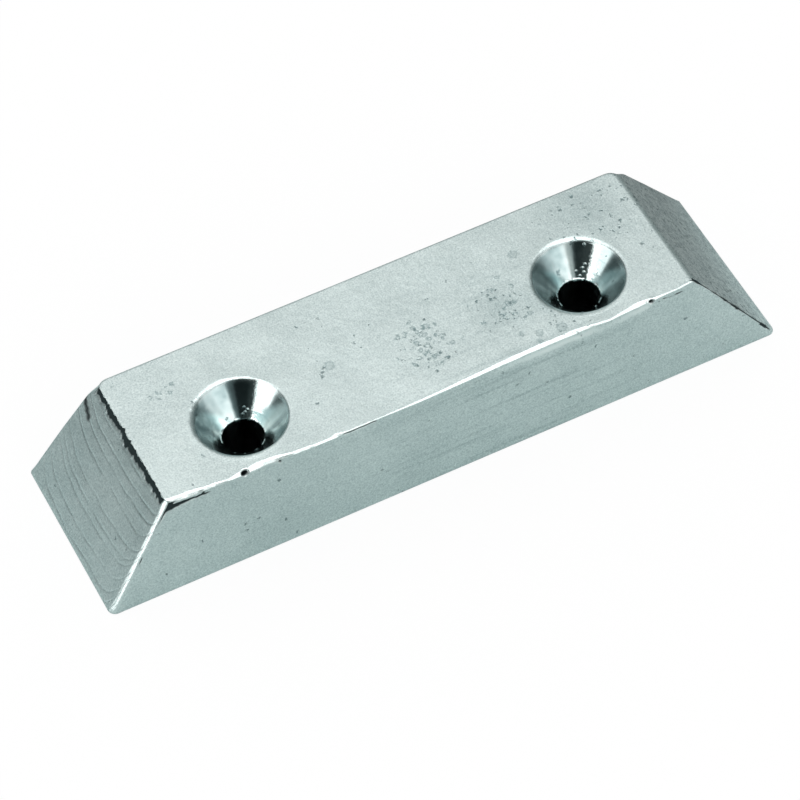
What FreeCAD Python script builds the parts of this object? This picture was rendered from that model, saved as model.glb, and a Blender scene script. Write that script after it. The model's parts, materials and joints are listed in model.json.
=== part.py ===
import FreeCAD, Part
import os

# One cast bar anode. X runs along the bar, Y across it and Z up from its flat back.
# The middle of the back is the origin, and every length is in millimetres.

# Size of the casting
BACK_LENGTH = 140.0
BACK_WIDTH = 38.0
HEIGHT = 22.0

# How far each face leans in between the back and the top
LEFT_RUN = 15.0
RIGHT_RUN = 16.5
SIDE_RUN = 3.25

# Screw holes, nearer to the front side, and the flat left between them and that edge
HOLE_SPACING = 70.0
BORE_DIAMETER = 8.0
CONE_DIAMETER = 18.0
CONE_DEPTH = 6.0
FRONT_LAND = 2.25

# Half the width of the top face, and the line that both holes stand on
TOP_HALF_WIDTH = BACK_WIDTH / 2 - SIDE_RUN
HOLE_LINE = FRONT_LAND + CONE_DIAMETER / 2 - TOP_HALF_WIDTH

# Roundings left by the mould, worked out from the height
SIDE_EDGE_RADIUS = HEIGHT / 22
LEFT_EDGE_RADIUS = 0.6 * SIDE_EDGE_RADIUS
RIGHT_EDGE_RADIUS = 2.5 * SIDE_EDGE_RADIUS
FRONT_HIP_FOOT_RADIUS = 1.6 * SIDE_EDGE_RADIUS
REAR_HIP_FOOT_RADIUS = 0.3 * SIDE_EDGE_RADIUS
LEFT_HIP_RADIUS = 0.9 * SIDE_EDGE_RADIUS
RIGHT_HIP_RADIUS = 1.4 * SIDE_EDGE_RADIUS
BACK_EDGE_RADIUS = HEIGHT / 200
LEFT_MOUTH_RADIUS = 0.5 * SIDE_EDGE_RADIUS
RIGHT_MOUTH_RADIUS = 1.3 * SIDE_EDGE_RADIUS

# Gas pits open at the front top edge: place along the bar, drop below the top, radius
EDGE_PITS = (
    (-48.1, 1.5, 0.35),
    (-40.1, 0.3, 0.75),
    (-32.9, 1.5, 0.35),
    (43.8, 0.4, 0.5),
)

# One nick where the left end meets the top: place across the bar, radius
END_NICK = (0.4, 0.7)

TOUCH = 1e-6


def leaning_block():
    """A block whose four sides lean in from the back to the smaller top."""
    low_x = -BACK_LENGTH / 2
    high_x = BACK_LENGTH / 2
    half_width = BACK_WIDTH / 2
    block = Part.makeWedge(
        low_x, 0, -half_width, -TOP_HALF_WIDTH, low_x + LEFT_RUN,
        high_x, HEIGHT, half_width, TOP_HALF_WIDTH, high_x - RIGHT_RUN,
    )
    block.rotate(FreeCAD.Vector(0, 0, 0), FreeCAD.Vector(1, 0, 0), 90)
    return block


def round_edges(block, radii):
    """Round numbered edges, each with a radius that changes evenly from start to finish."""
    model = FreeCAD.newDocument("rounding")
    sharp = model.addObject("Part::Feature", "sharp")
    sharp.Shape = block
    rounded = model.addObject("Part::Fillet", "rounded")
    rounded.Base = sharp
    rounded.Edges = radii
    model.recompute()
    solid = rounded.Shape.Solids[0].copy()
    FreeCAD.closeDocument(model.Name)
    return solid


def edge_ends(edge):
    """The two end points of an edge, in the order in which its radii are given."""
    return edge.valueAt(edge.FirstParameter), edge.valueAt(edge.LastParameter)


def hip_radius(corner):
    """Radius of a leaning corner, at whichever end of it this point is."""
    if corner.z < HEIGHT / 2 and corner.y < 0:
        return FRONT_HIP_FOOT_RADIUS
    if corner.z < HEIGHT / 2:
        return REAR_HIP_FOOT_RADIUS
    if corner.x < 0:
        return LEFT_HIP_RADIUS
    return RIGHT_HIP_RADIUS


def round_hips(block):
    """Round the four leaning corners, which the mould left nearly sharp at the rear foot."""
    radii = []
    for number, edge in enumerate(block.Edges, start=1):
        if edge.BoundBox.ZLength > HEIGHT / 2:
            start, finish = edge_ends(edge)
            radii.append((number, hip_radius(start), hip_radius(finish)))
    return round_edges(block, radii)


def top_edge_radii(edge):
    """Radii at the start and finish of one top edge, blended round each corner."""
    box = edge.BoundBox
    if box.XLength > FRONT_HIP_FOOT_RADIUS + SIDE_EDGE_RADIUS:
        return SIDE_EDGE_RADIUS, SIDE_EDGE_RADIUS
    at_end = LEFT_EDGE_RADIUS
    if box.Center.x > 0:
        at_end = RIGHT_EDGE_RADIUS
    if box.YLength > FRONT_HIP_FOOT_RADIUS + SIDE_EDGE_RADIUS:
        return at_end, at_end
    start, finish = edge_ends(edge)
    if abs(start.y) > abs(finish.y):
        return SIDE_EDGE_RADIUS, at_end
    return at_end, SIDE_EDGE_RADIUS


def round_top(block):
    """Round the top edge with its own radius on the sides and on either end."""
    radii = []
    for number, edge in enumerate(block.Edges, start=1):
        if edge.BoundBox.ZMin > HEIGHT - TOUCH:
            start, finish = top_edge_radii(edge)
            radii.append((number, start, finish))
    return round_edges(block, radii)


def round_back(block):
    """Break the sharp edge round the flat back."""
    rim = [edge for edge in block.Edges if edge.BoundBox.ZMax < TOUCH]
    return block.makeFillet(BACK_EDGE_RADIUS, rim)


def screw_hole(place):
    """The space of one countersunk hole, turned about its own axis."""
    bore = BORE_DIAMETER / 2
    mouth = CONE_DIAMETER / 2
    outline = [
        FreeCAD.Vector(0, 0, -HEIGHT),
        FreeCAD.Vector(bore, 0, -HEIGHT),
        FreeCAD.Vector(bore, 0, HEIGHT - CONE_DEPTH),
        FreeCAD.Vector(mouth, 0, HEIGHT),
        FreeCAD.Vector(mouth, 0, 2 * HEIGHT),
        FreeCAD.Vector(0, 0, 2 * HEIGHT),
    ]
    section = Part.Face(Part.makePolygon(outline + outline[:1]))
    space = section.revolve(FreeCAD.Vector(0, 0, 0), FreeCAD.Vector(0, 0, 1), 360)
    space.translate(FreeCAD.Vector(place, HOLE_LINE, 0))
    return space


def mouth_edges(block, place):
    """The ring where one countersink breaks through the top face."""
    found = []
    for edge in block.Edges:
        box = edge.BoundBox
        ring = box.ZMin > HEIGHT - TOUCH and abs(box.XLength - CONE_DIAMETER) < TOUCH
        if ring and abs(box.Center.x - place) < TOUCH:
            found.append(edge)
    return found


def add_screw_holes(block):
    """Cut both holes and round the lip of each countersink."""
    half = HOLE_SPACING / 2
    for place, lip in ((-half, LEFT_MOUTH_RADIUS), (half, RIGHT_MOUTH_RADIUS)):
        block = block.cut(screw_hole(place))
        block = block.makeFillet(lip, mouth_edges(block, place))
    return block


def bubble(x, y, z, radius):
    """A round hollow that a bubble of gas leaves in the skin."""
    hollow = Part.makeSphere(radius)
    hollow.translate(FreeCAD.Vector(x, y, z))
    return hollow


def add_blemishes(block):
    """Open the gas pits along the front top edge and the nick at the left end."""
    for x, drop, radius in EDGE_PITS:
        y = -TOP_HALF_WIDTH - SIDE_RUN * drop / HEIGHT
        block = block.cut(bubble(x, y, HEIGHT - drop, radius))
    y, radius = END_NICK
    x = LEFT_RUN - BACK_LENGTH / 2
    return block.cut(bubble(x, y, HEIGHT, radius))


def anode_bar():
    """The whole casting."""
    block = round_back(round_top(round_hips(leaning_block())))
    return add_blemishes(add_screw_holes(block))


os.makedirs("parts", exist_ok=True)
anode_bar().exportStep("parts/anode_bar.step")
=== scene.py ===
import json
import math

import bpy
import numpy as np
from mathutils import Matrix, Vector


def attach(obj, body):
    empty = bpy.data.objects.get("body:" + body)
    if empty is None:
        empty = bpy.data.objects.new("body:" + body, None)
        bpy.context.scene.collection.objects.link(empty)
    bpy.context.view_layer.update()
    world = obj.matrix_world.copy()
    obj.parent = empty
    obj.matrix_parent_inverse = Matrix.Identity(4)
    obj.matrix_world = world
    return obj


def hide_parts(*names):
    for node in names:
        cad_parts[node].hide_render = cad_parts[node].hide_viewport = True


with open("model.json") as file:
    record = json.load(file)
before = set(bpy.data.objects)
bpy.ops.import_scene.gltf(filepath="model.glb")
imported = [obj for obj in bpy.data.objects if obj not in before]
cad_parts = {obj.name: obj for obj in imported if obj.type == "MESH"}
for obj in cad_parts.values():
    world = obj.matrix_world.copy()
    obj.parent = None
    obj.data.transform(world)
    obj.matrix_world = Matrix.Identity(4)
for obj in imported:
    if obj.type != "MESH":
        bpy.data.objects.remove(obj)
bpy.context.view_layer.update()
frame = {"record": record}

# One bare casting on a pale floor. Shapes are worked out in millimetres and written in metres.
MM = 0.001

# Sizes of the casting, the same as in the solid model
BACK_LENGTH = 140.0
BACK_WIDTH = 38.0
HEIGHT = 22.0
LEFT_RUN = 15.0
RIGHT_RUN = 16.5
SIDE_RUN = 3.25
CONE_RADIUS = 9.0
CONE_DEPTH = 6.0
LEFT_EDGE_RADIUS = 0.3
RIGHT_EDGE_RADIUS = 1.9
REAR_EDGE_RADIUS = 0.85
BACK_EDGE_RADIUS = 0.15
LEAST_CORNER = 0.12

# Rounding of the leaning corners at shares of the height: front left, front right, back
# right and back left
HIP_RISES = (0, 0.12, 0.5, 0.85, 1)
HIPS = (
    (1.6, 1.3, 1.1, 1.05, 1.05),
    (1.6, 0.5, 0.3, 0.3, 0.6),
    (0.15, 0.15, 0.15, 0.3, 2.2),
    (0.9, 0.8, 0.3, 0.6, 2.1),
)

# The front top edge along the bar: place, rounding, how ragged, how far it stands forward
FRONT_EDGE = np.array([
    (-55, 1.0, 0.05, 0.2), (-51, 1.05, 0.12, 0.45), (-46, 0.7, 0.1, 0.75),
    (-43, 0.38, 0.08, 0.95), (-40, 1.1, 0.06, 0.75), (-36, 1.15, 0.12, 0.55),
    (-33, 1.0, 0.12, 0.75), (-30, 0.55, 0.1, 1.1), (-26, 0.5, 0.08, 1.3),
    (-23, 0.45, 0.05, 1.35), (-21.5, 0.8, 0.05, 1.2), (-20, 0.24, 0.05, 1.2),
    (-12, 0.22, 0.05, 1.25), (-5, 0.35, 0.05, 1.3), (1, 0.5, 0.04, 1.15),
    (6, 0.65, 0.05, 0.95), (12, 0.8, 0.06, 0.8), (18, 0.78, 0.08, 0.75),
    (28, 0.78, 0.08, 0.75), (32, 0.45, 0.06, 0.95), (35, 0.35, 0.05, 1.15),
    (38, 0.5, 0.08, 0.9), (41.5, 0.95, 0.08, 0.65), (44, 0.7, 0.06, 0.6),
    (46, 0.4, 0.06, 0.55), (50, 0.35, 0.06, 0.5), (53.5, 0.4, 0.04, 0.1),
])

# Gas pits at the front top edge: place along the bar, drop below the top, radius
EDGE_PITS = ((-48.1, 0.95, 0.35), (-39.8, 0.25, 0.8), (-32.9, 0.95, 0.35), (44.0, 0.45, 0.55))

# How far the skin below the front top edge is worn back, and how strong the painted sheen band
# under it is: place, share
WORN = np.array([
    (8, 0), (14, 0.6), (20, 1), (31, 1), (34, 0.3), (37, 0.7), (43, 1), (44.5, 0),
])

# Dark hollow under the front top edge: place, drops below the top where it starts and ends
EDGE_SHADE = np.array([
    (-54.6, 0.8, 2.4), (-53.7, 0.95, 2.1), (-52, 1.0, 1.85), (-50, 1.05, 1.65),
    (-48.2, 1.0, 1.65), (-46.8, 1.15, 1.4), (-45, 1.15, 1.3), (-41, 1.2, 1.2),
    (-20.7, 0.5, 0.5), (-20, 0.24, 0.72), (-13.8, 0.24, 0.68), (-12.6, 0.5, 0.5),
    (45.8, 1.2, 1.2), (46.5, 1.05, 1.4), (50.5, 1.05, 1.45), (51.5, 1.2, 1.2),
])

# Dark hollow beside the crest of the front left corner: height, width
CREST_SHADE = np.array([
    (8, 0), (9, 0.35), (11, 0.4), (11.6, 0), (15.3, 0), (16.5, 0.35), (18, 0.55), (19.5, 1.0),
    (21.2, 2.0),
])

# Dark crease down the front right corner: height, half width
CREASE = np.array([
    (1.4, 0), (2.2, 0.55), (3.6, 0.55), (4.2, 0.36), (9.6, 0.36), (10.2, 0.62), (11.4, 0.66),
    (12, 0.45), (13.4, 0.48), (14, 0.32), (20, 0.32), (20.6, 0.52), (21.6, 0.5),
])

# One deep lap near the back of the left end, painted dark as shade with no relief of its own:
# places across the bar and heights
DEEP_LAP = ((16.4, 18.3), (15.2, 17.7), (13.8, 17.2), (12.5, 16.7))

# Rounding of each countersink's lip by its bearing, and how chipped it is
LIPS = (
    (
        (0, 0.5), (50, 0.7), (85, 1.4), (105, 2.0), (125, 2.4), (150, 2.2), (185, 1.6),
        (230, 1.4), (280, 0.8), (330, 0.5),
    ),
    (
        (0, 1.1), (50, 1.6), (90, 2.1), (130, 1.7), (160, 1.3), (190, 1.8), (235, 1.8),
        (290, 1.1), (330, 0.9),
    ),
)
LIP_CHIPS = (0.22, 0.03)

# Painted reflection on the cut metal of each countersink by its bearing: above nought darker,
# below nought brighter
PAINTED_REFLECTIONS = (
    (
        (0, -0.4), (22, -0.3), (35, -0.1), (50, -0.1), (58, 0.5), (78, 0.7), (86, 0), (120, 0),
        (138, 0.3), (152, 0.05), (165, -0.1), (180, 0.05), (200, 0.6), (215, 0.85),
        (240, 0.92), (270, 0.85), (288, 0.6), (305, 0.15), (320, 0.05), (333, -0.8),
        (347, -1.0),
    ),
    (
        (0, 0), (15, -0.15), (30, 0), (43, -0.35), (52, -0.1), (58, 0.2), (66, 0.3),
        (75, -0.6), (82, -0.3), (90, 0.05), (110, 0.1), (120, 0.35), (135, 0.75), (150, 0.65),
        (180, 0.55), (220, 0.6), (240, 0.95), (260, 0.9), (275, 0.7), (295, 0.6), (315, 0.6),
        (330, 0.55), (345, 0),
    ),
)

# How far each mark moves the skin, in millimetres
SKIN_DEPTH = 0.06
BEAD_HEIGHT = 0.12
LAP_WAVE = 0.015
HOLLOW_DEPTH = 0.25
GROOVE_DEPTH = 0.25
TORN_LIP = 0.2
WORN_DEPTH = 0.22
BURR_HEIGHT = 0.15

# How far the skin sinks for each millimetre inside a gas pit, and how high a pit's rim
# stands as a share of its radius
PIT_DEPTH = 1.4
PIT_RIM = 0.1

# How far the skin's foot stays behind the sharp lower edge of the front, in millimetres
FRONT_MARGIN = 0.02

# The two screw holes stand where the record's mounts say
HOLES = [m for m in frame["record"]["mounts"] if m["kind"] == "bore"]
HOLE_CENTRES = np.array([m["pos_m"][:2] for m in HOLES]) / MM
BORE_RADIUS = HOLES[0]["dims"]["r_mm"]

# Bearing of the front left corner
LEFT_CREST = -3 * math.pi / 4

# How finely each run of the skin is divided
FRONT_STEPS = 420
BACK_STEPS = 110
LEFT_STEPS = 170
RIGHT_STEPS = 90
CORNER_STEPS = 10
MIDDLE_STEPS = 60
TOP_ROWS = 24
LIP_ROWS = 7
CONE_ROWS = 15
BORE_ROWS = 4
FOOT_ROWS = 3
EDGE_ROWS = 10
WALL_ROWS = 38
RIM_ROWS = 4

# Powers above one crowd the rows of the wall, the cone and the top towards an edge
WALL_CROWDING = 1.5
CONE_CROWDING = 1.6
TOP_CROWDING = 1.45

# How many random heights there are, and the primes that spread a lattice over them
RANDOM_HEIGHTS = 4096
LATTICE_PRIMES = np.array([73856093, 19349663, 83492791])


def noise(points, size, seed):
    """Smooth random heights from about -1 to 1 that change over the given size.

    Each point falls in a cell of a lattice. Its height is the mix of the random values
    at the cell's eight corners, weighted by a smooth step along each axis.
    """
    table = np.random.default_rng(seed).uniform(-1, 1, RANDOM_HEIGHTS)
    places = np.asarray(points, float) / size
    low = np.floor(places).astype(np.int64)
    part = places - low
    part = part * part * (3 - 2 * part)
    total = np.zeros(len(places))
    for corner in np.ndindex(2, 2, 2):
        step = np.array(corner)
        keys = (low + step) @ LATTICE_PRIMES
        weight = np.prod(np.where(step == 1, part, 1 - part), axis=1)
        total += weight * table[keys % RANDOM_HEIGHTS]
    return total


def bell(distance, reach):
    """A bump, one at distance nought: e to the minus square of the distance over the reach."""
    return np.exp(-np.square(distance / reach))


def mix(low, high, share):
    """The point that share of the way from low to high."""
    return low + (high - low) * share


def along(values, size, seed):
    """Smooth random heights from about -1 to 1 along one line."""
    values = np.asarray(values, float)
    return noise(np.column_stack([values, np.zeros((len(values), 2))]), size, seed)


def front_radius(x):
    """Rounding of the front top edge: its table's radius, and a random amount by its raggedness."""
    places, radius, ragged, _ = FRONT_EDGE.T
    uneven = along(x, 1.7, 3) + 0.5 * along(x, 0.8, 4)
    return np.interp(x, places, radius) + np.interp(x, places, ragged) * uneven


def stations():
    """Stations once round the bar, counter-clockwise from the front left.

    Each has its place, as shares of the length and the width, the outward direction in
    which it leaves the corner's centre, and how much it belongs to a side and not an end.
    """
    quarter = np.linspace(0, 1, CORNER_STEPS, endpoint=False)
    # Start, finish, outward direction in quarter turns, steps, share of a side here and next
    runs = [
        ((0, 0), (1, 0), -1, FRONT_STEPS, 1, 0), ((1, 0), (1, 1), 0, RIGHT_STEPS, 0, 1),
        ((1, 1), (0, 1), 1, BACK_STEPS, 1, 0), ((0, 1), (0, 0), 2, LEFT_STEPS, 0, 1),
    ]
    places, turns, sides = [], [], []
    for start, finish, turn, steps, side, next_side in runs:
        share = np.linspace(0, 1, steps, endpoint=False)[:, None]
        straight = mix(np.array(start), np.array(finish), share)
        places += [straight, np.tile(finish, (CORNER_STEPS, 1))]
        turns += [np.full(steps, turn), turn + quarter]
        sides += [np.full(steps, side), mix(side, next_side, quarter)]
    turn = np.concatenate(turns) * math.pi / 2
    outward = np.stack([np.cos(turn), np.sin(turn)], 1)
    return np.concatenate(places), outward, np.concatenate(sides)


def ring(rise, inset, places, outward):
    """A rounded rectangle at a rise from nought at the back to one at the top.

    It is drawn in by an inset at the ends and another on the sides. Each corner keeps
    its round, less the insets, and a station lies its round's radii from its centre.
    """
    front_left, front_right, back_right, back_left = [
        np.interp(rise, HIP_RISES, hip) for hip in HIPS]
    front = mix(front_left, front_right, places[:, 0])
    back = mix(back_left, back_right, places[:, 0])
    hip = mix(front, back, places[:, 1])
    low = LEFT_RUN * rise - BACK_LENGTH / 2 + inset[0]
    high = BACK_LENGTH / 2 - RIGHT_RUN * rise - inset[0]
    half = BACK_WIDTH / 2 - SIDE_RUN * rise - inset[1]
    corner = [np.maximum(hip - amount, LEAST_CORNER) for amount in inset]
    x = mix(low + corner[0], high - corner[0], places[:, 0]) + corner[0] * outward[:, 0]
    y = mix(corner[1] - half, half - corner[1], places[:, 1]) + corner[1] * outward[:, 1]
    return x, y


def wall_rows():
    """Rows of the skin from the top's border over the rounded edge and down to the back.

    Every row is one closed ring. The rounding at the top turns from upward to the lean
    of the wall, and a small rounding tucks it under to the back. Side and end have their
    own radius and lean, and each corner passes from one to the other. The rows between
    take up the corners' own rounding within a tenth of the way. The front edge stands
    forward by its table, and the back of the bar doesn't.
    """
    places, outward, side = stations()
    x, y = ring(1.0, (0, 0), places, outward)
    radius = [
        mix(LEFT_EDGE_RADIUS, RIGHT_EDGE_RADIUS + 0.2 * along(y, 4, 5), places[:, 0]),
        mix(front_radius(x), REAR_EDGE_RADIUS, places[:, 1]),
    ]
    lean = [
        np.arctan(mix(LEFT_RUN, RIGHT_RUN, places[:, 0]) / HEIGHT),
        np.full(len(x), math.atan(SIDE_RUN / HEIGHT)),
    ]

    def rounding(share, edge, turn, rise):
        """One ring at a share of a rounding, and its drop below the level face.

        A rounding of radius r that turns by an angle t meets the level face r tan(t/2)
        inside the sharp edge. At a share s it has come r sin(st) out and r (1 - cos(st)) down.
        """
        inset, drop = [], []
        for r, t in zip(edge, turn):
            inset.append(r * np.tan(t / 2) - r * np.sin(t * share))
            drop.append(r * (1 - np.cos(t * share)))
        x, y = ring(rise, inset, places, outward)
        return x, y, mix(drop[0], drop[1], side)

    rows, rim = [], []
    for share in np.linspace(0, 1, EDGE_ROWS):
        x, y, drop = rounding(share, radius, [math.pi / 2 - one for one in lean], 1.0)
        rows.append(np.column_stack([x, y, HEIGHT - drop]))
    for share in np.linspace(1, 0, RIM_ROWS):
        edge = [np.full(len(x), BACK_EDGE_RADIUS)] * 2
        x, y, drop = rounding(share, edge, [math.pi / 2 + one for one in lean], 0.0)
        rim.append(np.column_stack([x, y, drop]))
    for share in np.linspace(0, 1, WALL_ROWS + 1)[1:-1] ** WALL_CROWDING:
        straight = mix(rows[EDGE_ROWS - 1], rim[0], share)
        x, y = ring(straight[:, 2] / HEIGHT, (0, 0), places, outward)
        rows.append(mix(straight, np.column_stack([x, y, straight[:, 2]]), min(share / 0.1, 1)))
    wall = np.array(rows + rim)
    forward = np.interp(wall[:, :, 0], FRONT_EDGE[:, 0], FRONT_EDGE[:, 3])
    wall[:, :, 1] -= forward * side * (1 - places[:, 1]) * wall[:, :, 2] / HEIGHT
    return wall


def hole_profile(lip):
    """Radius and height down one hole in every column: rounded lip, cone, then bore.

    A lip of radius r turns from level to the cone's slope s. It leaves the top r tan(s/2)
    outside the place where a sharp cone would start, and so it runs into that cone.
    """
    slope = math.atan2(CONE_DEPTH, CONE_RADIUS - BORE_RADIUS)
    turn = np.linspace(0, slope, LIP_ROWS)[:, None]
    radii = CONE_RADIUS + lip * math.tan(slope / 2) - lip * np.sin(turn)
    heights = HEIGHT - lip * (1 - np.cos(turn))
    share = 1 - (1 - np.linspace(0, 1, CONE_ROWS + 1)[1:, None]) ** CONE_CROWDING
    floor = HEIGHT - CONE_DEPTH
    drop = np.linspace(0, 1, BORE_ROWS + 1)[1:, None] ** 2
    bore = np.full((BORE_ROWS, len(lip)), BORE_RADIUS)
    radii = np.vstack([radii, mix(radii[-1], BORE_RADIUS, share), bore])
    heights = np.vstack([
        heights, mix(heights[-1], floor, share), mix(floor, np.zeros(len(lip)), drop)])
    return radii, heights


def by_bearing(away, table):
    """Bearing of every step from a hole's axis, in degrees, and a table's value there."""
    bearing = np.degrees(np.arctan2(away[:, 1], away[:, 0])) % 360
    return bearing, np.interp(bearing, *zip(*table), period=360)


def lip_radius(hole, away):
    """Rounding of one countersink's lip by its bearing, with random chips."""
    bearing, smooth = by_bearing(away, LIPS[hole])
    chips = along(bearing, 5, 11 + hole) + along(bearing, 14, 13 + hole)
    return smooth + LIP_CHIPS[hole] * chips


def hole_sheet(top_border, foot_border, hole):
    """Rows from the top's border to one hole, down through it and out to the back's border.

    Each column leaves the border straight towards the hole's axis. It follows the
    hole's profile in that direction, and then runs straight to the border of the back.
    """
    away = top_border[:, :2] - HOLE_CENTRES[hole]
    away /= np.linalg.norm(away, axis=1)[:, None]
    radii, heights = hole_profile(lip_radius(hole, away))
    spots = HOLE_CENTRES[hole] + radii[:, :, None] * away
    rings = np.concatenate([spots, heights[:, :, None]], axis=2)
    rows = [mix(top_border, rings[0], (k / TOP_ROWS) ** TOP_CROWDING) for k in range(TOP_ROWS)]
    rows += list(rings)
    rows += [mix(rings[-1], foot_border, k / FOOT_ROWS) for k in range(1, FOOT_ROWS + 1)]
    return np.array(rows)


def quads(grid):
    """Four-cornered faces between the rows of a grid of vertex numbers closed sideways."""
    here, below = grid[:-1], grid[1:]
    faces = [here, below, np.roll(below, -1, axis=1), np.roll(here, -1, axis=1)]
    return np.stack(faces, axis=-1).reshape(-1, 4)


def casting_skin():
    """Vertices and faces of the whole closed skin, before any casting marks.

    The wall is one grid closed round the bar. The top and back between its borders are
    split by a line across the middle, and each half is one grid closed round its hole.
    """
    wall = wall_rows()
    count = wall.shape[1]
    wall_ids = np.arange(wall.shape[0] * count).reshape(-1, count)
    vertices = [wall.reshape(-1, 3)]
    faces = [quads(wall_ids)]
    front = FRONT_STEPS // 2
    back = FRONT_STEPS + RIGHT_STEPS + 2 * CORNER_STEPS + BACK_STEPS // 2
    right_run = np.arange(front, back + 1)
    left_run = np.arange(back, count + front + 1) % count
    share = np.linspace(0, 1, MIDDLE_STEPS)[1:-1, None]
    next_id = wall_ids.size
    seam_ids, seam_points = [], []
    for row in (0, -1):
        seam_points.append(mix(wall[row, back], wall[row, front], share))
        seam_ids.append(np.arange(next_id, next_id + len(share)))
        vertices.append(seam_points[-1])
        next_id += len(share)
    for run, step, hole in ((left_run, -1, 0), (right_run, 1, 1)):
        borders, border_ids = [], []
        for row, points, ids in zip((0, -1), seam_points, seam_ids):
            borders.append(np.concatenate([wall[row, run], points[::step]]))
            border_ids.append(np.concatenate([wall_ids[row, run], ids[::step]]))
        sheet = hole_sheet(borders[0], borders[1], hole)
        inner = sheet[1:-1]
        ids = np.arange(next_id, next_id + inner.shape[0] * inner.shape[1])
        next_id += ids.size
        grid = np.vstack([border_ids[0], ids.reshape(inner.shape[:2]), border_ids[1]])
        vertices.append(inner.reshape(-1, 3))
        faces.append(quads(grid)[:, ::-1])
    return np.concatenate(vertices), np.concatenate(faces)


def skin_normals(vertices, faces):
    """Outward unit normals: each vertex takes the sum of its faces' cross products."""
    corners = vertices[faces]
    cross = np.cross(corners[:, 2] - corners[:, 0], corners[:, 3] - corners[:, 1])
    normals = np.zeros_like(vertices)
    for column in range(4):
        np.add.at(normals, faces[:, column], cross)
    return normals / np.linalg.norm(normals, axis=1)[:, None]


def crest_turn(normals):
    """Angle between each normal and the front left corner's own, seen from above."""
    bearing = np.arctan2(normals[:, 1], normals[:, 0])
    return np.abs((bearing - LEFT_CREST + math.pi) % (2 * math.pi) - math.pi)


def hole_distance(points):
    """Distance of each point from the nearer hole's axis."""
    left, right = [np.linalg.norm(points[:, :2] - centre, axis=1) for centre in HOLE_CENTRES]
    return np.minimum(left, right)


def casting_marks(points, normals):
    """How each point moves, in millimetres, for the marks that the mould and the pour left.

    The skin sinks a little and waves gently. A bead follows the front left corner, and
    laps wave across the left end. The dark hollows and the pits are sunk. The torn lip of
    the left end stands out over its groove, the front is worn back below its top edge,
    and a burr stands up round each bore.
    """
    x, y, z = points.T
    leaning = 1 - np.abs(normals[:, 2]) ** 4
    skin = clear_of_holes(points) * np.clip((z - 0.2) / 1.5, 0, 1)
    depth = 0.03 * noise(points, 16, 21) + 0.02 * noise(points, 6, 22) - SKIN_DEPTH

    bead = bell(crest_turn(normals), 0.34) * leaning
    depth += bead * (BEAD_HEIGHT + 0.05 * along(z, 3.2, 23) + 0.02 * along(z, 1.4, 24))

    left = np.clip(-normals[:, 0] * 4 - 1.5, 0, 1) * leaning
    depth += left * LAP_WAVE * along(lap_height(points), 2.4, 26)
    depth -= HOLLOW_DEPTH * hollows(points)
    inside, rim = pits(points)
    move = (depth * skin - PIT_DEPTH * inside + PIT_RIM * rim)[:, None] * normals

    lip, groove = tear(points)
    move[:, 0] += GROOVE_DEPTH * groove - TORN_LIP * lip
    worn = np.interp(x, *WORN.T) * np.clip((1.8 - HEIGHT + z) / 0.75, 0, 1)
    move[:, 1] += WORN_DEPTH * worn * np.clip(-14 - y, 0, 1)
    move[:, 2] += BURR_HEIGHT * bore_burr(points)
    return move


def bore_burr(points):
    """Share of the thin broken burr that the countersink left round the bore's mouth."""
    across = hole_distance(points) - BORE_RADIUS
    rim = bell(np.hypot(across, points[:, 2] - HEIGHT + CONE_DEPTH), 0.16)
    return rim * np.clip(2.5 * noise(points, 0.45, 27), 0, 1)


def machined(points):
    """Share of the cut metal of the holes, which is nought on their lips and less on burrs."""
    cut = 1 - clear_of_holes(points)
    return cut * np.clip((HEIGHT - 0.1 - points[:, 2]) / 0.5, 0, 1) * (1 - 0.6 * bore_burr(points))


def painted_reflection(points):
    """Share of painted reflection: above nought darker, below nought brighter.

    On the cut metal of either countersink it goes by its bearing and clears towards the bore.
    A band 1.3 mm below the front top edge is painted bright as sheen.
    """
    shade = np.zeros(len(points))
    # Painted reflection on the countersinks, by bearing
    for centre, table in zip(HOLE_CENTRES, PAINTED_REFLECTIONS):
        away = points[:, :2] - centre
        here = np.linalg.norm(away, axis=1) < CONE_RADIUS + 1
        shade += here * by_bearing(away, table)[1]
    x, y, z = points.T
    shade -= 0.5 * np.clip((HEIGHT - z) / CONE_DEPTH, 0, 1) ** 3
    shade += 0.14 * noise(points, 0.9, 41) + 0.1 * noise(points, 2.4, 42)
    drop = HEIGHT - z + 0.3 * along(x, 0.7, 38)
    # A band below the front top edge painted bright as sheen
    painted_sheen_band = bell(drop - 1.3, 0.6) * np.interp(x, *WORN.T) * (y < -14)
    return machined(points) * shade - 0.6 * painted_sheen_band


def tear(points):
    """Shares of the torn lip of the left top edge, and of the groove under it.

    The way down from the sharp edge along the leaning end is 0.72 of the steps in and down
    together. The lip reaches down to a random line, and the groove from there for a
    random width. Both stop short of the corners, and a notch interrupts the lip.
    """
    x, y, z = points.T
    below = 0.72 * (LEFT_RUN - BACK_LENGTH / 2 - x + HEIGHT - z)
    notch = bell(y - 0.3, 0.7)
    upper = 0.26 + 0.14 * along(y, 1.6, 31) + 0.27 * along(y, 0.4, 32) - 0.3 * notch
    reach = 1.65 + 0.3 * along(y, 2.2, 33) + 0.25 * along(y, 0.8, 34) + 0.7 * notch
    reach = reach * np.clip((14.9 - y) / 0.8, 0, 1) * np.clip((y + 14.9) / 0.4, 0, 1)
    lip = np.clip((upper - below) / 0.2 + 0.5, 0, 1) * np.clip((below + 1.3) / 1.1, 0, 1)
    groove = np.clip((below - upper) / 0.2 + 0.5, 0, 1)
    groove *= np.clip((upper + reach - below) / 0.35, 0, 1)
    return lip, groove


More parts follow.
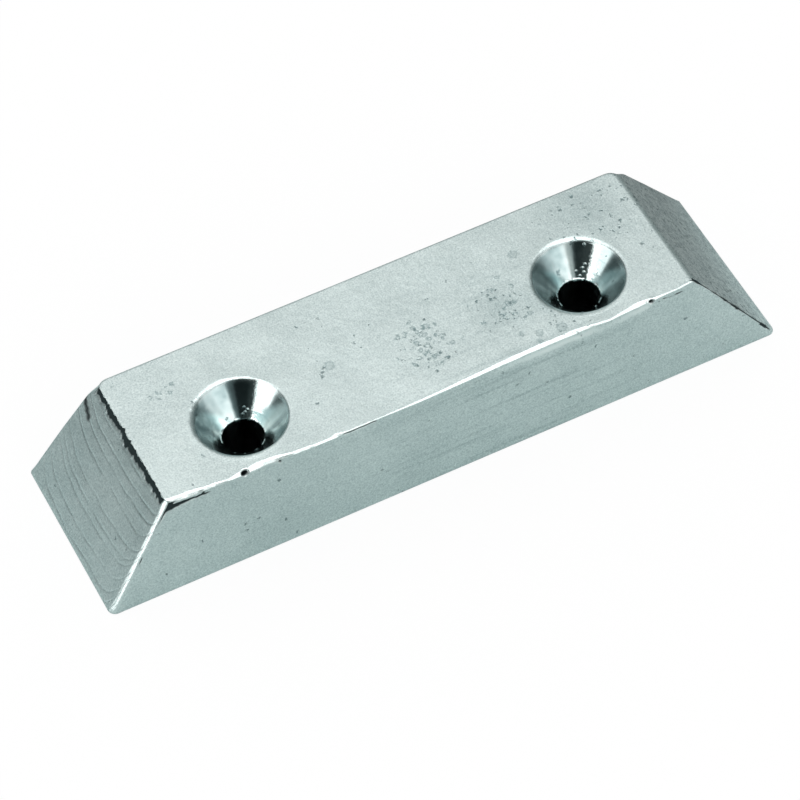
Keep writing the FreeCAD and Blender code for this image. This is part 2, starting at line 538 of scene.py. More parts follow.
def hollows(points):
    """Shares of the hollows at the front top edge and down both front corners, which are sunk and
    painted dark as shade.

    The distance across a corner is nought on its sharp line, grows along the front and
    falls below nought along the end.
    """
    x, y, z = points.T
    inside = y + BACK_WIDTH / 2 - SIDE_RUN * z / HEIGHT
    across_left = x + BACK_LENGTH / 2 - LEFT_RUN * z / HEIGHT - inside
    beyond = BACK_LENGTH / 2 - RIGHT_RUN * z / HEIGHT - x
    across_right = beyond - inside
    drop = HEIGHT - z + 0.08 * along(x, 0.9, 35)
    start, finish = [np.interp(x, EDGE_SHADE[:, 0], EDGE_SHADE[:, k]) for k in (1, 2)]
    under = np.clip((drop - start) / 0.15, 0, 1) * np.clip((finish - drop) / 0.3, 0, 1)
    under *= (y < -15) * np.clip((across_left - 0.9) / 0.3, 0, 1)
    width = np.interp(z, *CREST_SHADE.T) * (1 + 0.4 * along(z, 0.9, 36))
    beside = np.clip((across_left - 0.5) / 0.2, 0, 1)
    beside *= np.clip((width + 0.5 - across_left) / 0.25, 0, 1)
    beside *= (inside < 0.5) * (z < 21.5)
    width = np.interp(z, *CREASE.T) * (1 + 0.3 * along(z, 0.7, 37))
    crease = np.clip((width - np.abs(across_right)) / 0.15, 0, 1)
    crease *= np.minimum(inside, beyond) < 0.4
    return np.maximum(np.maximum(under, beside), crease)


def polish_and_painted_highlight(points, normals):
    """Share of polish and painted highlight on the front left corner and the front top edge: it
    lowers the roughness there and brightens the colour as a painted highlight.

    The corner's share is a bell about its own bearing, and the edge's is a bell about
    normals that point forward and upward.
    """
    crest = bell(crest_turn(normals), 0.4) * np.clip((0.85 - normals[:, 2]) / 0.2, 0, 1)
    facing = np.clip(-4 * normals[:, 1] - 0.4, 0, 1) * (points[:, 1] < -13)
    facing *= np.interp(points[:, 0], (44, 47), (1, 0.2))
    edge = bell(normals[:, 2] - 0.66, 0.28) * facing
    return np.maximum(crest, edge)


def deep_lap(points):
    """Share of the one deep lap, which is only painted dark as shade: full near the line through
    its places on the left end.
    """
    spots = points[:, 1:]
    nearest = np.full(len(points), np.inf)
    for start, finish in zip(np.array(DEEP_LAP[:-1]), np.array(DEEP_LAP[1:])):
        run = finish - start
        share = np.clip((spots - start) @ run / (run @ run), 0, 1)[:, None]
        nearest = np.minimum(nearest, np.linalg.norm(spots - mix(start, finish, share), axis=1))
    return np.clip((0.6 - nearest) / 0.4, 0, 1) * (points[:, 0] < -50)


def pits(points):
    """How deep each point lies inside the gas pits, and a bell of their radius on their rims.

    Their middles lie on the leaning front, as far forward as the front top edge there.
    """
    deepest = np.zeros(len(points))
    rim = np.zeros(len(points))
    for place, drop, radius in EDGE_PITS:
        forward = np.interp(place, FRONT_EDGE[:, 0], FRONT_EDGE[:, 3])
        lean = SIDE_RUN * drop / HEIGHT
        centre = np.array([place, SIDE_RUN - BACK_WIDTH / 2 - lean - forward, HEIGHT - drop])
        away = np.linalg.norm(points - centre, axis=1)
        deepest = np.maximum(deepest, radius - away)
        rim = np.maximum(rim, radius * bell(away - radius - 0.2, 0.25))
    return deepest, rim


def clear_of_holes(points):
    """Nought on the holes, rising to one on the skin a little outside their lips."""
    return np.clip((hole_distance(points) - CONE_RADIUS) / 1.2, 0, 1)


def lap_height(points):
    """Way up the left end, which the laps follow. It is less near both corners, so they rise."""
    y, z = points[:, 1], points[:, 2]
    return z * 1.21 - 3.2 * np.exp((y - 16) / 3.5) - 3.5 * np.exp(-(y + 16.5) / 1.8)


def linear(code):
    """A colour written as an sRGB hex code, turned into linear red, green, blue, alpha."""
    parts = [int(code[i:i + 2], 16) / 255 for i in (0, 2, 4)]
    return [p / 12.92 if p <= 0.04045 else ((p + 0.055) / 1.055) ** 2.4 for p in parts] + [1.0]


def bare_tree(owner):
    """The node tree of a new material or world, emptied."""
    owner.use_nodes = True
    owner.node_tree.nodes.clear()
    return owner.node_tree


def node(tree, kind, inputs=None, **settings):
    """Add one shader node, set its options, and fill or link its inputs.

    Inputs go by name or by number. Of a map range, 1 and 2 are the range that comes in,
    and 3 and 4 the range that goes out. Of a colour mix, 6 and 7 are the two colours.
    """
    made = tree.nodes.new(kind)
    for name, value in settings.items():
        setattr(made, name, value)
    for key, value in (inputs or {}).items():
        if isinstance(value, bpy.types.NodeSocket):
            tree.links.new(value, made.inputs[key])
        else:
            made.inputs[key].default_value = value
    return made


# Rings on the top: middle and radius in millimetres
RINGS = (
    (26.4, -13.9, 0.95), (22.1, -13.1, 0.7), (19.0, -11.9, 0.45), (26.6, 6.0, 0.8),
    (4.3, -1.8, 0.6), (-15.5, -1.5, 0.9), (21.4, -15.0, 0.4),
)

# Where pinholes crowd, where curls do and where the skin is dull: middle and reach in
# millimetres, greatest share
PITTED = (
    (1.0, -6.0, 21.9, 7.5, 0.35), (19.0, -4.5, 21.9, 8.0, 0.6), (28.0, -13.0, 21.9, 5.0, 0.6),
    (-17.5, -2.0, 21.9, 3.0, 0.6), (57.0, 6.0, 17.0, 14.0, 0.6), (63.0, -12.5, 10.0, 8.0, 0.6),
    (42.0, 7.0, 21.9, 15.0, 0.15), (60.0, 10.0, 12.0, 16.0, 0.25),
)
CURLED = (
    (2.8, -5.0, 21.9, 7.0, 0.95), (19.0, -4.5, 21.9, 8.0, 0.3), (-45.0, 8.0, 21.9, 3.5, 0.5),
)
DULL = (
    (43.0, 9.5, 21.9, 13.0, 0.25), (19.0, -5.0, 21.9, 9.0, 0.25), (28.5, -5.5, 21.9, 7.5, 0.3),
)

# Where faint streaks run below the front top edge: middle, reach, and the core where they
# are at their full strength, in millimetres
STREAKED = (12, -18, 8)
STREAK_REACH = 35
STREAK_CORE = 10

# How far the gas marks are pushed out of shape, in millimetres
WARP = 1.1

# Drops of metal that stuck to the countersinks: hole, bearing, depth
SPATTER = (
    (0, 60, 5.0), (0, 55, 4.6), (0, 66, 5.3), (0, 62, 4.3), (1, 55, 0.8), (1, 51, 3.7),
    (1, 55, 4.3), (1, 51, 4.9), (1, 68, 4.8), (1, 60, 5.5),
)
DROP_RADIUS = 0.35
DROP_HEIGHT = 0.25

# How bright the metal is before its marks, and how much each of them brightens it, or
# darkens it below nought
PLAIN_TONE = 0.44
TONES = {
    # Pinholes are darkened as the painted shade inside them
    "peel": 0.12, "cloud": 0.38, "streak": -0.25, "pinhole": -0.8, "rings": -0.9,
    # left_end, right_end and top paint both ends darker and the top lighter, as painted shade and
    # light
    "curls": -0.95, "speck": 0.9, "dull": -1.0, "line": -0.18, "left_end": -0.13,
    # The countersinks' painted reflection darkens the tone above nought and brightens it below
    "right_end": -0.1, "mottle": 0.22, "top": 0.08, "machined": -0.5, "painted_reflection": -1.0,
    # The front corner and edge are brightened as painted highlight
    "polish_and_painted_highlight": 0.3,
}

# How far the grain and each mark raise the skin, in millimetres, or sink it below nought
GRAIN_HEIGHT = 0.024
RELIEF = {"peel": 0.05, "pinhole": -0.04, "rings": -0.02, "step": 0.05}

# Colours of the metal, the grey of painted shade and of the dark painted reflection, and the near
# black of painted shade in pits
DULL_METAL = "8FA3A4"
BRIGHT_METAL = "E4EEEC"
PAINTED_SHADE_GREY = "364142"
PAINTED_SHADE_BLACK = "161C1D"


def distance(tree, place, spot):
    """Distance in metres from one spot in the metal, which is given in millimetres."""
    return node(tree, "ShaderNodeVectorMath", {
        0: place, 1: [side * MM for side in spot]}, operation="DISTANCE").outputs["Value"]


def gather(tree, place, spots, core, share=0.0, **settings):
    """Add to a share what it gains round every spot.

    The gain rises from nought at the spot's reach to its greatest at the core, which is
    a share of that reach.
    """
    for *spot, reach, most in spots:
        near = node(tree, "ShaderNodeMapRange", {
            0: distance(tree, place, spot), 1: reach * MM, 2: core * reach * MM,
            3: 0.0, 4: most}, **settings).outputs[0]
        share = node(tree, "ShaderNodeMath", {0: share, 1: near}, operation="ADD").outputs[0]
    return share


def pinholes(tree, place, moved):
    """Pinholes of 0.2 to 0.5 mm, crowded where gas gathered, and a few bright specks.

    Every cell of a pattern holds one bubble, open where the cell's random value is less
    than the crowd there. Another random value gives its size, and a third picks the
    cells with a speck.
    """
    crowd = gather(tree, place, PITTED, 0.1, 0.014)
    cells = node(tree, "ShaderNodeTexVoronoi", {"Vector": moved, "Scale": 1.15 / MM})
    random = node(tree, "ShaderNodeSeparateXYZ", {0: cells.outputs["Color"]})
    chosen = node(tree, "ShaderNodeMath", {
        0: random.outputs["X"], 1: crowd}, operation="LESS_THAN").outputs[0]
    size = node(tree, "ShaderNodeMapRange", {
        0: random.outputs["Y"], 3: 0.22, 4: 0.6}).outputs[0]
    hole = node(tree, "ShaderNodeMapRange", {
        0: cells.outputs["Distance"], 1: size, 2: 0.08, 3: 0.0, 4: 1.0}).outputs[0]
    pinhole = node(tree, "ShaderNodeMath", {0: hole, 1: chosen}, operation="MULTIPLY").outputs[0]
    few = node(tree, "ShaderNodeMath", {
        0: random.outputs["Z"], 1: 0.006}, operation="LESS_THAN").outputs[0]
    dot = node(tree, "ShaderNodeMapRange", {
        0: cells.outputs["Distance"], 1: 0.3, 2: 0.1, 3: 0.0, 4: 1.0}).outputs[0]
    speck = node(tree, "ShaderNodeMath", {0: dot, 1: few}, operation="MULTIPLY").outputs[0]
    return pinhole, speck


def burst_rings(tree, moved, grain):
    """Broken dark rings where bubbles burst on the top: each is a disc less its middle."""
    rings = 0.0
    for x, y, reach in RINGS:
        away = distance(tree, moved, (x + WARP / 2, y + WARP / 2, HEIGHT + 0.5))
        disc = node(tree, "ShaderNodeMapRange", {
            0: away, 1: (reach + 0.3) * MM, 2: reach * MM, 3: 0.0, 4: 1.0}).outputs[0]
        bare = node(tree, "ShaderNodeMapRange", {
            0: away, 1: reach * MM, 2: (reach - 0.3) * MM, 3: 0.0, 4: 0.6}).outputs[0]
        one = node(tree, "ShaderNodeMath", {0: disc, 1: bare}, operation="SUBTRACT").outputs[0]
        rings = node(tree, "ShaderNodeMath", {0: rings, 1: one}, operation="ADD").outputs[0]
    return node(tree, "ShaderNodeMath", {0: rings, 1: grain}, operation="MULTIPLY").outputs[0]


def open_curls(tree, place, moved, grain):
    """Broken dark curls of about a millimetre, round the middles of some of a pattern's cells."""
    crowd = gather(tree, place, CURLED, 0.2)
    cells = node(tree, "ShaderNodeTexVoronoi", {"Vector": moved, "Scale": 0.82 / MM})
    chosen = node(tree, "ShaderNodeSeparateXYZ", {0: cells.outputs["Color"]}).outputs["X"]
    chosen = node(tree, "ShaderNodeMath", {0: chosen, 1: crowd}, operation="LESS_THAN").outputs[0]
    away = node(tree, "ShaderNodeMath", {
        0: cells.outputs["Distance"], 1: 0.36}, operation="SUBTRACT").outputs[0]
    away = node(tree, "ShaderNodeMath", {0: away}, operation="ABSOLUTE").outputs[0]
    curls = node(tree, "ShaderNodeMapRange", {
        0: away, 1: 0.17, 2: 0.03, 3: 0.0, 4: 1.0}).outputs[0]
    broken = node(tree, "ShaderNodeMapRange", {
        0: grain, 1: 0.4, 2: 0.6, 3: 0.2, 4: 1.0}).outputs[0]
    for share in (chosen, broken):
        curls = node(tree, "ShaderNodeMath", {0: curls, 1: share}, operation="MULTIPLY").outputs[0]
    return curls


def gas_marks(tree, place, grain):
    """Shares of the marks that gas left in the skin, all drawn on a place pushed about."""
    warp = node(tree, "ShaderNodeTexNoise", {"Vector": place, "Scale": 1.8 / MM, "Detail": 1})
    moved = node(tree, "ShaderNodeVectorMath", {
        0: warp.outputs["Color"], 1: [WARP * MM] * 3, 2: place},
        operation="MULTIPLY_ADD").outputs[0]
    pinhole, speck = pinholes(tree, place, moved)
    return {
        "pinhole": pinhole, "speck": speck, "rings": burst_rings(tree, moved, grain),
        "curls": open_curls(tree, place, moved, grain),
    }


def lap_marks(tree, place, lap, left):
    """Shares of the lines and steps on the left end, where one flow of metal froze on the last.

    Both lie at the borders of uneven bands of about 3 mm up that end, and fade in places.
    """
    warp = node(tree, "ShaderNodeTexNoise", {
        "Vector": place, "Scale": 0.11 / MM, "Detail": 1.5}).outputs[0]
    level = node(tree, "ShaderNodeMath", {
        0: warp, 1: 2.6, 2: lap}, operation="MULTIPLY_ADD").outputs[0]
    gap = node(tree, "ShaderNodeTexVoronoi", {
        "W": level, "Scale": 0.36}, voronoi_dimensions="1D",
        feature="DISTANCE_TO_EDGE").outputs["Distance"]
    fade = node(tree, "ShaderNodeTexNoise", {
        "Vector": place, "Scale": 0.16 / MM, "Detail": 1}).outputs[0]
    fade = node(tree, "ShaderNodeMapRange", {
        0: fade, 1: 0.38, 2: 0.6, 3: 0.3, 4: 1.0}).outputs[0]
    fade = node(tree, "ShaderNodeMath", {0: fade, 1: left}, operation="MULTIPLY").outputs[0]
    shares = {}
    for name, start, finish in (("line", 0.09, 0.0), ("step", 0.0, 0.16)):
        share = node(tree, "ShaderNodeMapRange", {
            0: gap, 1: start, 2: finish, 3: 0.0, 4: 1.0}).outputs[0]
        shares[name] = node(tree, "ShaderNodeMath", {
            0: share, 1: fade}, operation="MULTIPLY").outputs[0]
    return shares


def side_marks(tree, place, marks):
    """Shares of what only parts of the casting show.

    They are the top, the coarse mottle of the right end, and faint streaks 40 mm long and
    1 mm wide below the front top edge.
    """
    height = node(tree, "ShaderNodeSeparateXYZ", {0: place}).outputs["Z"]
    top = node(tree, "ShaderNodeMapRange", {
        0: height, 1: 21.4 * MM, 2: 21.8 * MM, 3: 0.0, 4: 1.0}).outputs[0]
    mottle = node(tree, "ShaderNodeMapRange", {
        0: marks["peel"], 1: 0.35, 2: 0.65, 3: -1.0, 4: 1.0}).outputs[0]
    mottle = node(tree, "ShaderNodeMath", {
        0: mottle, 1: marks["right_end"]}, operation="MULTIPLY").outputs[0]
    drawn = node(tree, "ShaderNodeVectorMath", {
        0: place, 1: (0.025 / MM, 0.9 / MM, 0.9 / MM)}, operation="MULTIPLY").outputs[0]
    streak = node(tree, "ShaderNodeTexNoise", {
        "Vector": drawn, "Scale": 1, "Detail": 2}).outputs[0]
    streak = node(tree, "ShaderNodeMapRange", {
        0: streak, 1: 0.52, 2: 0.7, 3: 0.0, 4: 1.0}).outputs[0]
    near = node(tree, "ShaderNodeMapRange", {
        0: distance(tree, place, STREAKED), 1: STREAK_REACH * MM, 2: STREAK_CORE * MM,
        3: 0.0, 4: 1.0}).outputs[0]
    streak = node(tree, "ShaderNodeMath", {0: streak, 1: near}, operation="MULTIPLY").outputs[0]
    return {"top": top, "mottle": mottle, "streak": streak}


def metal_tone(tree, grain, cast, marks):
    """How bright the metal is: nought is dull metal and one is bright metal.

    The grain sways it on the cast skin, and more so on the coarse right end. Every mark
    then adds its share.
    """
    tone = node(tree, "ShaderNodeMapRange", {
        0: grain, 1: 0.25, 2: 0.75, 3: -0.42, 4: 0.42}).outputs[0]
    coarse = node(tree, "ShaderNodeMath", {
        0: marks["right_end"], 1: 1.4, 2: 1.0}, operation="MULTIPLY_ADD").outputs[0]
    tone = node(tree, "ShaderNodeMath", {0: tone, 1: coarse}, operation="MULTIPLY").outputs[0]
    tone = node(tree, "ShaderNodeMath", {
        0: tone, 1: cast, 2: PLAIN_TONE}, operation="MULTIPLY_ADD").outputs[0]
    for name, share in TONES.items():
        tone = node(tree, "ShaderNodeMath", {
            0: marks[name], 1: share, 2: tone}, operation="MULTIPLY_ADD").outputs[0]
    return tone


def skin_height(tree, place, grain, cast, marks):
    """Height of the fine relief in millimetres: grain and marks on the cast skin, and drops."""
    height = node(tree, "ShaderNodeMath", {
        0: grain, 1: GRAIN_HEIGHT}, operation="MULTIPLY").outputs[0]
    for name, share in RELIEF.items():
        height = node(tree, "ShaderNodeMath", {
            0: marks[name], 1: share, 2: height}, operation="MULTIPLY_ADD").outputs[0]
    height = node(tree, "ShaderNodeMath", {0: height, 1: cast}, operation="MULTIPLY").outputs[0]
    drops = []
    for hole, bearing, depth in SPATTER:
        away = CONE_RADIUS - depth * (CONE_RADIUS - BORE_RADIUS) / CONE_DEPTH
        turn = math.radians(bearing)
        x, y = HOLE_CENTRES[hole] + away * np.array([math.cos(turn), math.sin(turn)])
        drops.append((x, y, HEIGHT - depth, DROP_RADIUS, DROP_HEIGHT))
    return gather(tree, place, drops, 0.0, height, interpolation_type="SMOOTHSTEP")


def cast_zinc():
    """Bare zinc as it left an iron mould.

    The chilled skin is a cool light grey that gives back a soft, blurred sheen. A grain
    finer than half a millimetre and shallow waves like orange peel break it up. Gas
    left pinholes, dark rings and curls on the top, the metal froze in laps on the left
    end, and the right end is coarser. Painted shade darkens the hollows, the groove under
    the torn lip, the pits, the pinholes and the deep lap. Both countersinks are cut smooth
    and mirror their surroundings, with painted reflection that goes round them in bands.
    The front edge and corner are polished and painted bright as highlight, with a band of
    painted sheen below the front edge. The top is painted lighter and both ends darker.
    """
    made = bpy.data.materials.new("cast_zinc")
    tree = bare_tree(made)
    place = node(tree, "ShaderNodeTexCoord").outputs["Object"]
    # Shares from the mesh, among them painted reflection on the countersinks, painted highlight on
    # the front corner and edge, and painted shade in the hollows, the groove, the pits and the deep
    # lap
    names = ("machined", "polish_and_painted_highlight", "painted_reflection", "lap", "left_end", "right_end", "painted_shade", "painted_pit_and_lap_shade")
    marks = {
        name: node(tree, "ShaderNodeAttribute", attribute_name=name).outputs["Fac"]
        for name in names
    }
    # Polish on the cut metal and on the front corner and edge, which are also painted bright as
    # highlight: it lowers roughness and lessens the grain
    polish = node(tree, "ShaderNodeMath", {
        0: marks["polish_and_painted_highlight"], 1: 0.7, 2: marks["machined"]}, operation="MULTIPLY_ADD").outputs[0]
    cast = node(tree, "ShaderNodeMath", {0: 1.0, 1: polish}, operation="SUBTRACT").outputs[0]

    # Grain of 0.3 mm and finer, orange peel of 1.5 mm and clouds of 12 mm
    grain, marks["peel"], marks["cloud"] = [
        node(tree, "ShaderNodeTexNoise", {
            "Vector": place, "Scale": fineness / MM, "Detail": detail,
            "Roughness": roughness}).outputs[0]
        for fineness, detail, roughness in ((3, 3, 0.7), (0.65, 2, 0.5), (0.085, 4, 0.6))
    ]
    marks.update(gas_marks(tree, place, grain))
    marks.update(lap_marks(tree, place, marks["lap"], marks["left_end"]))
    marks.update(side_marks(tree, place, marks))
    marks["dull"] = gather(tree, place, DULL, 0.0, interpolation_type="SMOOTHSTEP")

    # Colour: from dull to bright metal, then grey where the painted reflection is dark, grey
    # in the painted shade of the hollows, the groove and the pinholes, and near black in the
    # painted shade of the pits and the deep lap
    edge = node(tree, "ShaderNodeMath", {
        0: grain, 1: 0.5, 2: marks["painted_shade"]}, operation="MULTIPLY_ADD").outputs[0]
    dark = node(tree, "ShaderNodeMapRange", {
        0: edge, 1: 0.45, 2: 0.85, 3: 0.0, 4: 1.0}).outputs[0]
    dark = node(tree, "ShaderNodeMath", {
        0: dark, 1: marks["painted_pit_and_lap_shade"]}, operation="MAXIMUM").outputs[0]
    dark = node(tree, "ShaderNodeMath", {
        0: marks["pinhole"], 1: 0.4, 2: dark}, operation="MULTIPLY_ADD").outputs[0]
    colour = linear(DULL_METAL)
    for share, code in (
            (metal_tone(tree, grain, cast, marks), BRIGHT_METAL), (marks["painted_reflection"], PAINTED_SHADE_GREY),
            (dark, PAINTED_SHADE_GREY), (marks["painted_pit_and_lap_shade"], PAINTED_SHADE_BLACK)):
        colour = node(tree, "ShaderNodeMix", {
            0: share, 6: colour, 7: linear(code)}, data_type="RGBA").outputs[2]

    # Roughness: uneven on the cast skin, less where it is polished, more where the painted shade
    # lies
    rough = node(tree, "ShaderNodeMapRange", {
        0: marks["cloud"], 1: 0.3, 2: 0.7, 3: 0.34, 4: 0.42}).outputs[0]
    for amount, share in ((polish, -0.2), (dark, 0.35)):
        rough = node(tree, "ShaderNodeMath", {
            0: amount, 1: share, 2: rough}, operation="MULTIPLY_ADD").outputs[0]

    bump = node(tree, "ShaderNodeBump", {
        "Height": skin_height(tree, place, grain, cast, marks), "Strength": 1.0, "Distance": MM})
    skin = node(tree, "ShaderNodeBsdfPrincipled", {
        "Base Color": colour, "Metallic": 1.0, "Roughness": rough,
        "Normal": bump.outputs["Normal"],
    })
    node(tree, "ShaderNodeOutputMaterial", {"Surface": skin.outputs["BSDF"]})
    return made


def build_casting():
    """The casting as one closed mesh that stands for the solid."""
    vertices, faces = casting_skin()
    normals = skin_normals(vertices, faces)
    left_end = np.clip(-normals[:, 0] * 5 - 2, 0, 1)
    shares = {
        "machined": machined(vertices),
        # Polish, and painted highlight on the front corner and edge
        "polish_and_painted_highlight": polish_and_painted_highlight(vertices, normals),
        # Painted reflection round the countersinks, and a painted sheen band below the front edge
        "painted_reflection": painted_reflection(vertices),
        "lap": lap_height(vertices),
        "left_end": left_end,
        "right_end": np.clip(normals[:, 0] * 5 - 2, 0, 1),
        # Painted shade in the hollows and in the groove under the torn lip
        "painted_shade": np.maximum(hollows(vertices), tear(vertices)[1]),
        # Painted shade, near black, in the gas pits and the deep lap
        "painted_pit_and_lap_shade": np.maximum(
            np.clip(pits(vertices)[0] * 4, 0, 1), 0.8 * left_end * deep_lap(vertices)),
    }
    vertices = vertices + casting_marks(vertices, normals)
    vertices[:, 1] = np.maximum(vertices[:, 1], FRONT_MARGIN - BACK_WIDTH / 2)
    vertices[:, 2] = np.clip(vertices[:, 2], 0, HEIGHT)
    mesh = bpy.data.meshes.new("anode_casting")
    mesh.from_pydata((vertices * MM).tolist(), [], faces.tolist())
    mesh.shade_smooth()
    for name, values in shares.items():
        mesh.attributes.new(name, "FLOAT", "POINT").data.foreach_set("value", values)
    made = bpy.data.objects.new("anode_casting", mesh)
    bpy.context.scene.collection.objects.link(made)
    made.data.materials.append(cast_zinc())
    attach(made, "root")
    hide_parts("anode_bar")
    return made


# The photograph's camera, solved from the corners and the hole rims: its lens, sensor and
# place in millimetres, its turns in degrees, one after another and all before the place,
# and how far it sees in metres
LENS = 173.27
SENSOR_WIDTH = 36.0
CAMERA_TURNS = ((-23.457, "Z"), (38.17, "X"), (-3.982, "Z"))
CAMERA_PLACE = (-1.149, 0.254, 731.7)
CAMERA_REACH = 20.0


def add_camera():
    """Look at the casting as the photograph does."""
    data = bpy.data.cameras.new("camera")
    data.sensor_width = SENSOR_WIDTH
    data.lens = LENS
    data.clip_end = CAMERA_REACH
    made = bpy.data.objects.new("camera", data)
    pose = Matrix.Identity(4)
    for degrees, axis in CAMERA_TURNS:
        pose = pose @ Matrix.Rotation(math.radians(degrees), 4, axis)
    made.matrix_world = pose @ Matrix.Translation(Vector(CAMERA_PLACE) * MM)
    bpy.context.scene.collection.objects.link(made)
    bpy.context.scene.camera = made


# What polished metal mirrors in the studio: bearing and rise of the middle of each
# board or softbox, its half width and half height, the softness of its border, all in
# degrees, and how bright it is against white paper. Later ones stand in front.
STUDIO = (
    (0, 82, 180, 22, 10, 3.0),
    (22, 31, 42, 29, 8, 0.28),
    (98, 46, 40, 28, 8, 0.86),
    (133, 14, 25, 20, 6, 0.1),
    (8, 0, 24, 9, 4, 0.12),
    (-172, 48, 26, 14, 8, 1.3),
    (-58, 46, 36, 14, 8, 1.2),
    (-24, 20, 12, 16, 10, 1.1),
    (-45, 16, 16, 17, 10, 1.5),
    (-68, 16, 18, 17, 8, 1.9),
    (-12, 4, 10, 8, 8, 0.5),
    (-174, 17, 22, 18, 3, 2.2),
    (-145, 3, 24, 12, 3, 2.0),
    (-97, 26, 9, 16, 16, 0.45),
    (-125, 28, 24, 16, 5, 0.06),
)

# How bright metal sees the studio between the boards, and the dim part of the floor
BETWEEN_BOARDS = 0.3
DIM_FLOOR = 0.15

# Colours of the floor, of the painted shadow under the casting, and of light from dim boards
PAPER = "CBD7D7"
PAINTED_SHADOW_PAPER = "191919"
WHITE = "FFFFFF"
DIM_LIGHT = "E7FFFF"

# Half the size of the floor in metres, and half the length and width of the part of it
# that the casting covers, which is painted dark as its shadow, in millimetres
FLOOR_REACH = 4.0
SHADOW_HALF_SIZE = (66, 17)


def add_board(tree, seen, bearing, rise, board):
    """Lay one board or softbox over what is seen so far, by its bearing and rise."""
    middle, level, half_width, half_height, soft, bright = board
    turn = node(tree, "ShaderNodeMath", {
        0: bearing, 1: math.radians(middle)}, operation="SUBTRACT").outputs[0]
    turn = node(tree, "ShaderNodeMath", {
        0: turn, 1: math.pi, 2: -math.pi}, operation="WRAP").outputs[0]
    lift = node(tree, "ShaderNodeMath", {
        0: rise, 1: math.radians(level)}, operation="SUBTRACT").outputs[0]
    shares = []
    for step, half in ((turn, half_width), (lift, half_height)):
        away = node(tree, "ShaderNodeMath", {0: step}, operation="ABSOLUTE").outputs[0]
        shares.append(node(tree, "ShaderNodeMapRange", {
            0: away, 1: math.radians(half + soft / 2), 2: math.radians(half - soft / 2),
        }, interpolation_type="SMOOTHSTEP").outputs[0])
    share = node(tree, "ShaderNodeMath", {
        0: shares[0], 1: shares[1]}, operation="MULTIPLY").outputs[0]
    return node(tree, "ShaderNodeMix", {0: share, 2: seen, 3: bright}).outputs[0]


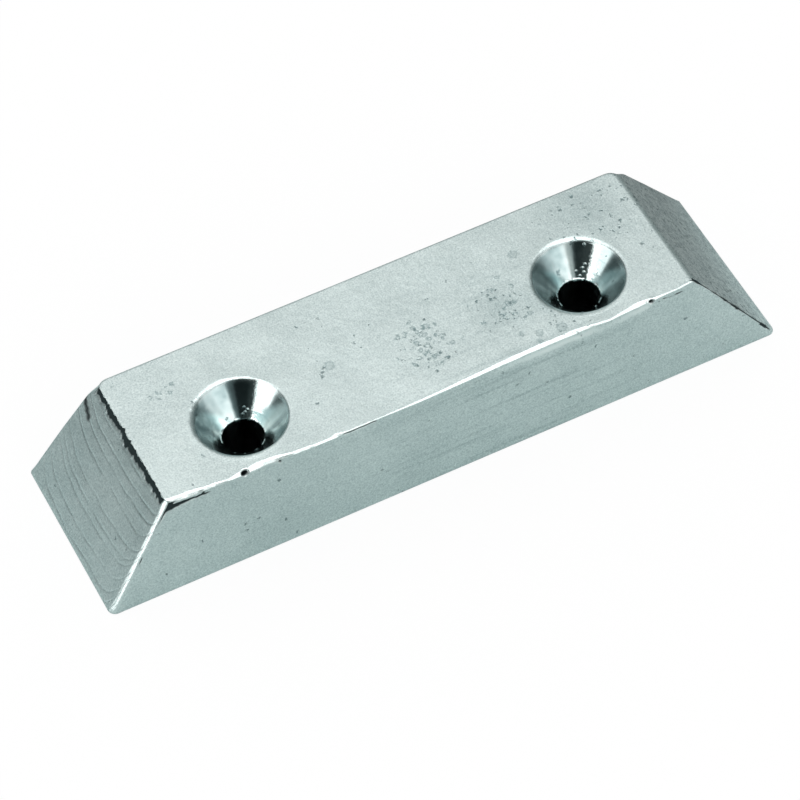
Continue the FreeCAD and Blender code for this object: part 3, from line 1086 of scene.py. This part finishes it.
def pale_floor():
    """White paper that keeps the casting's shadow.

    The camera sees it nearly white. Polished metal sees it dim beyond the right end and
    far off. Where the casting stands on it, it is painted dark as the casting's shadow.
    """
    made = bpy.data.materials.new("pale_floor")
    tree = bare_tree(made)
    path = node(tree, "ShaderNodeLightPath")
    place = node(tree, "ShaderNodeTexCoord").outputs["Object"]
    sides = node(tree, "ShaderNodeSeparateXYZ", {0: place})

    colour = node(tree, "ShaderNodeMix", {
        0: path.outputs["Is Camera Ray"], 6: linear(PAPER), 7: linear(WHITE)},
        data_type="RGBA").outputs[2]
    lit = node(tree, "ShaderNodeBsdfDiffuse", {"Color": colour}).outputs[0]
    white = node(tree, "ShaderNodeEmission", {
        "Color": linear(WHITE), "Strength": 1.0}).outputs[0]
    share = node(tree, "ShaderNodeMath", {
        0: path.outputs["Is Camera Ray"], 1: 0.9}, operation="MULTIPLY").outputs[0]
    surface = node(tree, "ShaderNodeMixShader", {0: share, 1: lit, 2: white}).outputs[0]

    slant = node(tree, "ShaderNodeMath", {
        0: sides.outputs["Y"], 1: 0.4, 2: sides.outputs["X"]},
        operation="MULTIPLY_ADD").outputs[0]
    away = node(tree, "ShaderNodeVectorMath", {0: place}, operation="LENGTH").outputs["Value"]
    right, far = [
        node(tree, "ShaderNodeMapRange", {
            0: amount, 1: start * MM, 2: finish * MM, 3: 0.0, 4: most},
            interpolation_type="SMOOTHSTEP").outputs[0]
        for amount, start, finish, most in ((slant, 64, 90, 0.72), (away, 150, 250, 0.8))
    ]
    dim = node(tree, "ShaderNodeMath", {0: right, 1: far}, operation="MAXIMUM").outputs[0]
    dim = node(tree, "ShaderNodeMath", {
        0: path.outputs["Is Glossy Ray"], 1: dim}, operation="MULTIPLY").outputs[0]
    dark = node(tree, "ShaderNodeEmission", {
        "Color": linear(WHITE), "Strength": DIM_FLOOR}).outputs[0]
    surface = node(tree, "ShaderNodeMixShader", {0: dim, 1: surface, 2: dark}).outputs[0]

    # Painted shadow: the floor under the casting is dark paper
    across = [
        node(tree, "ShaderNodeMath", {
            0: sides.outputs[axis], 1: 0.0, 2: half * MM}, operation="COMPARE").outputs[0]
        for axis, half in zip("XY", SHADOW_HALF_SIZE)
    ]
    shadow_share = node(tree, "ShaderNodeMath", {
        0: across[0], 1: across[1]}, operation="MULTIPLY").outputs[0]
    painted_shadow = node(tree, "ShaderNodeBsdfDiffuse", {"Color": linear(PAINTED_SHADOW_PAPER)}).outputs[0]
    surface = node(tree, "ShaderNodeMixShader", {0: shadow_share, 1: surface, 2: painted_shadow}).outputs[0]
    node(tree, "ShaderNodeOutputMaterial", {"Surface": surface})
    return made


def add_floor():
    """The flat floor that the casting stands on."""
    low, high = -FLOOR_REACH, FLOOR_REACH
    mesh = bpy.data.meshes.new("floor")
    mesh.from_pydata(
        [(low, low, 0), (high, low, 0), (high, high, 0), (low, high, 0)], [], [(0, 1, 2, 3)])
    mesh.materials.append(pale_floor())
    floor = bpy.data.objects.new("floor", mesh)
    bpy.context.scene.collection.objects.link(floor)


def add_world():
    """A plain white world, in which polished metal sees the boards of the studio.

    Light from dim boards is a little cooler than light from bright ones.
    """
    world = bpy.data.worlds.new("studio")
    bpy.context.scene.world = world
    tree = bare_tree(world)
    path = node(tree, "ShaderNodeLightPath")
    place = node(tree, "ShaderNodeTexCoord").outputs["Generated"]
    sides = node(tree, "ShaderNodeSeparateXYZ", {0: place})
    bearing = node(tree, "ShaderNodeMath", {
        0: sides.outputs["Y"], 1: sides.outputs["X"]}, operation="ARCTAN2").outputs[0]
    rise = node(tree, "ShaderNodeMath", {0: sides.outputs["Z"]}, operation="ARCSINE").outputs[0]
    seen = BETWEEN_BOARDS
    for board in STUDIO:
        seen = add_board(tree, seen, bearing, rise, board)
    bright = node(tree, "ShaderNodeMix", {
        0: path.outputs["Is Glossy Ray"], 2: 1.0, 3: seen}).outputs[0]
    tint = node(tree, "ShaderNodeMix", {
        0: bright, 6: linear(DIM_LIGHT), 7: linear(WHITE)}, data_type="RGBA").outputs[2]
    ground = node(tree, "ShaderNodeBackground", {"Color": tint, "Strength": bright}).outputs[0]
    node(tree, "ShaderNodeOutputWorld", {"Surface": ground})


bpy.context.scene.view_settings.view_transform = "Standard"
add_camera()
build_casting()
add_floor()
add_world()
